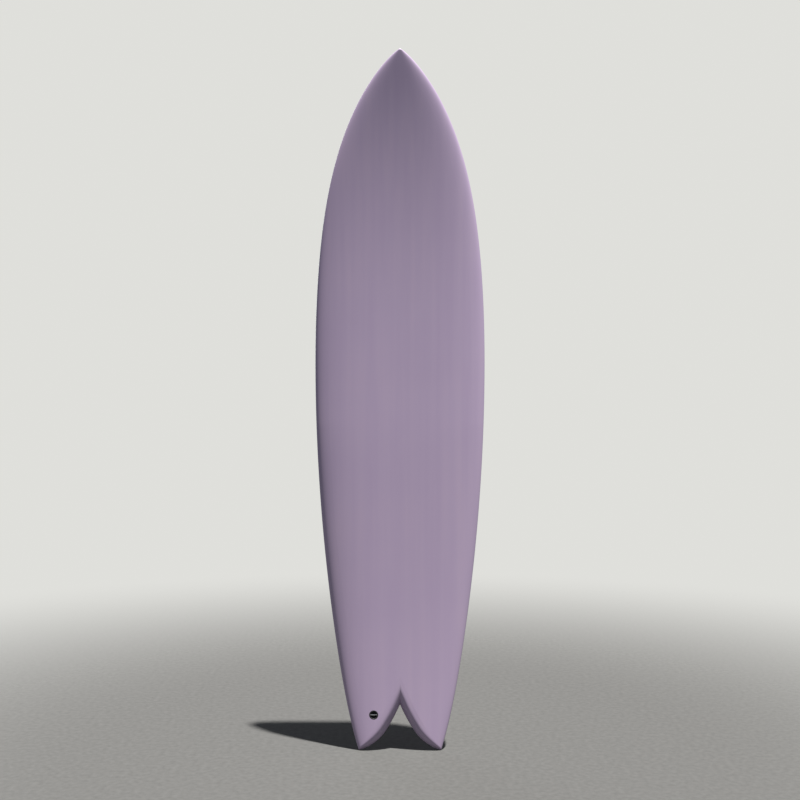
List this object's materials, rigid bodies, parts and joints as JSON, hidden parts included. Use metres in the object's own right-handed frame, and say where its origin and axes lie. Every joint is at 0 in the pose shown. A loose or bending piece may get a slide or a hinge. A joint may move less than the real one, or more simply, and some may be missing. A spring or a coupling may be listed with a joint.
{
  "type": "shortboard surfboard",
  "caption": "Swallow-tail surfboard with a pointed nose, rolled notch edge, leash plug with cross bar and removable keel fins in two-slot boxes.",
  "frame": {"origin": "on the floor, midway between the two tail tips that the board stands on", "axes": "+Z from the tail to the nose, +Y out of the bottom towards the fins, so the deck faces -Y; +X to the right seen from the deck side"},
  "size_m": [0.523, 0.2166, 2.132],
  "materials": {
    "pigmented_resin": "satin",
    "foam": "matte",
    "stringer_wood": "matte",
    "patch_cloth": "satin",
    "cup_plastic": "gloss",
    "bar_steel": "polished",
    "bedding_resin": "gloss",
    "box_plastic": "satin",
    "screw_steel": "satin",
    "fin_plywood": "gloss",
    "fin_rim": "gloss",
    "tab_composite": "satin"
  },
  "bodies": {
    "board": {"blank_left": "foam", "blank_right": "foam", "stringer": "stringer_wood", "deck_glass": "pigmented_resin", "bottom_glass": "pigmented_resin", "deck_patch": "patch_cloth", "fin_patch_left": "patch_cloth", "fin_patch_right": "patch_cloth", "leash_cup": "cup_plastic", "leash_bar": "bar_steel", "leash_bedding": "bedding_resin", "fin_box_left": "box_plastic", "fin_box_right": "box_plastic", "box_bedding_left": "bedding_resin", "box_bedding_right": "bedding_resin", "fin_grub_screws": "screw_steel"},
    "left_fin": {"fin_core_left": "fin_plywood", "fin_halo_left": "fin_rim", "fin_tabs_left": "tab_composite"},
    "right_fin": {"fin_core_right": "fin_plywood", "fin_halo_right": "fin_rim", "fin_tabs_right": "tab_composite"}
  },
  "joints": [
    {"name": "left_fin_slide", "type": "slide", "parent": "board", "child": "left_fin", "axis": [-0.0697, 0.995, -0.071], "range_m": [0, 0.03]},
    {"name": "right_fin_slide", "type": "slide", "parent": "board", "child": "right_fin", "axis": [0.0697, 0.995, -0.071], "range_m": [0, 0.03]}
  ]
}
